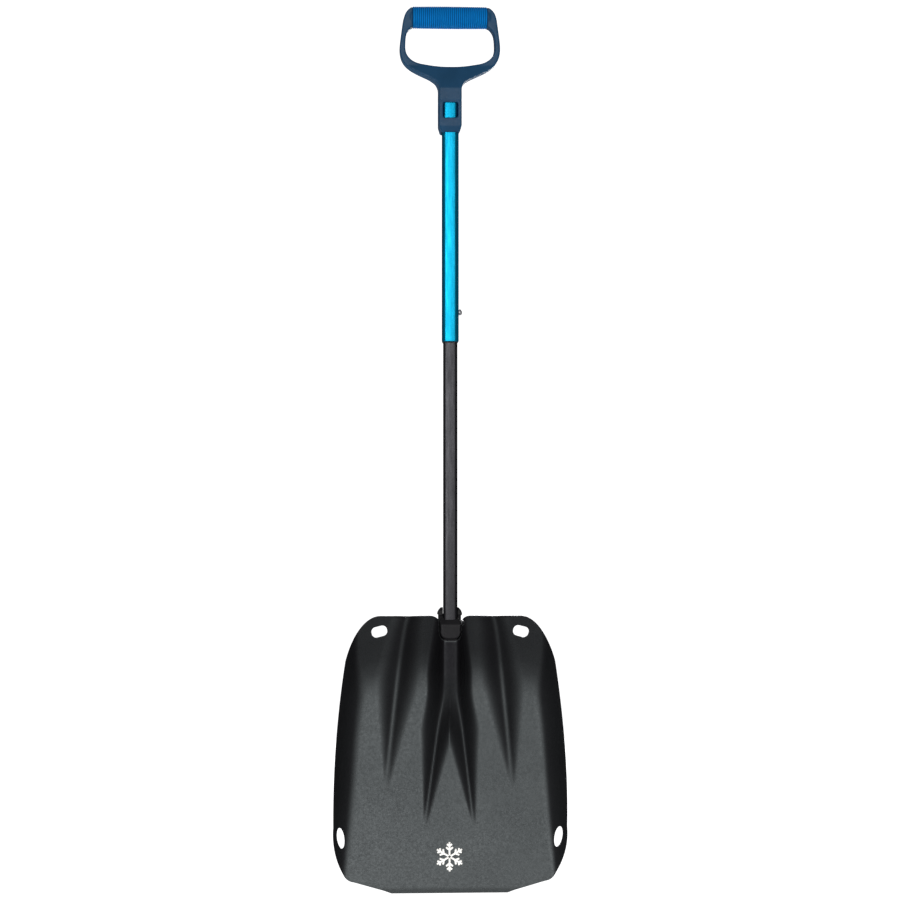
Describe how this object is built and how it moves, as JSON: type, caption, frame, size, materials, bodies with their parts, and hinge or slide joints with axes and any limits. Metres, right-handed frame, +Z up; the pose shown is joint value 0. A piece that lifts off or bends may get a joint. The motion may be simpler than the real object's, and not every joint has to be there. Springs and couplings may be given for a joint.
{
  "type": "avalanche shovel",
  "caption": "Telescoping avalanche shovel with a ribbed D-grip, a two-part trapezoid shaft with snap buttons, and a pressed, ribbed aluminium scoop blade.",
  "frame": {"origin": "centre of the hand grip, on the grip's axis and on the shaft's axis", "axes": "+Z up the shaft from the blade to the grip, -Y out of the open side of the scoop, X along the grip"},
  "size_m": [0.241, 0.0425, 0.9132],
  "materials": {
    "handle_nylon": "satin moulded slate-blue nylon",
    "grip_rubber": "matt ribbed blue rubber",
    "upper_anodised": "satin bright blue anodising",
    "lower_anodised": "satin dark grey anodising",
    "blade_coat": "satin dark grey metallic coating",
    "black_plastic": "matt black moulding",
    "button_steel": "polished steel",
    "spring_steel": "brushed spring steel",
    "rivet_steel": "satin steel",
    "weld_metal": "coated over"
  },
  "bodies": {
    "handle": {"handle_frame": "handle_nylon", "grip_sleeve": "grip_rubber", "handle_rivet": "rivet_steel", "upper_tube": "upper_anodised", "mouth_bushing": "black_plastic"},
    "lower_shaft": {"lower_tube": "lower_anodised", "guide_plug": "black_plastic", "end_plug": "black_plastic", "upper_spring_clip": "spring_steel", "lower_spring_clip": "spring_steel"},
    "upper_button": {"upper_snap_button": "button_steel"},
    "lower_button": {"lower_snap_button": "button_steel"},
    "blade": {"blade": "blade_coat", "socket_plate": "blade_coat", "socket_collar": "black_plastic", "socket_welds": "weld_metal", "collar_rivets": "rivet_steel"}
  },
  "joints": [
    {"name": "shaft_telescope", "type": "slide", "parent": "handle", "child": "lower_shaft", "axis": [0, 0, 1], "range_m": [0, 0.211], "deforming": ["upper_snap_button", "upper_spring_clip"]},
    {"name": "blade_release", "type": "slide", "parent": "lower_shaft", "child": "blade", "axis": [0, 0, -1], "range_m": [0, 0.08], "deforming": ["lower_snap_button", "lower_spring_clip"]},
    {"name": "upper_button_press", "type": "slide", "parent": "lower_shaft", "child": "upper_button", "axis": [-1, 0, 0], "range_m": [0, 0.0063], "stiffness_N_per_m": 1200, "springref_m": -0.003, "deforming": ["upper_spring_clip"]},
    {"name": "lower_button_press", "type": "slide", "parent": "lower_shaft", "child": "lower_button", "axis": [-1, 0, 0], "range_m": [0, 0.0063], "stiffness_N_per_m": 1200, "springref_m": -0.003, "deforming": ["lower_spring_clip"]}
  ]
}
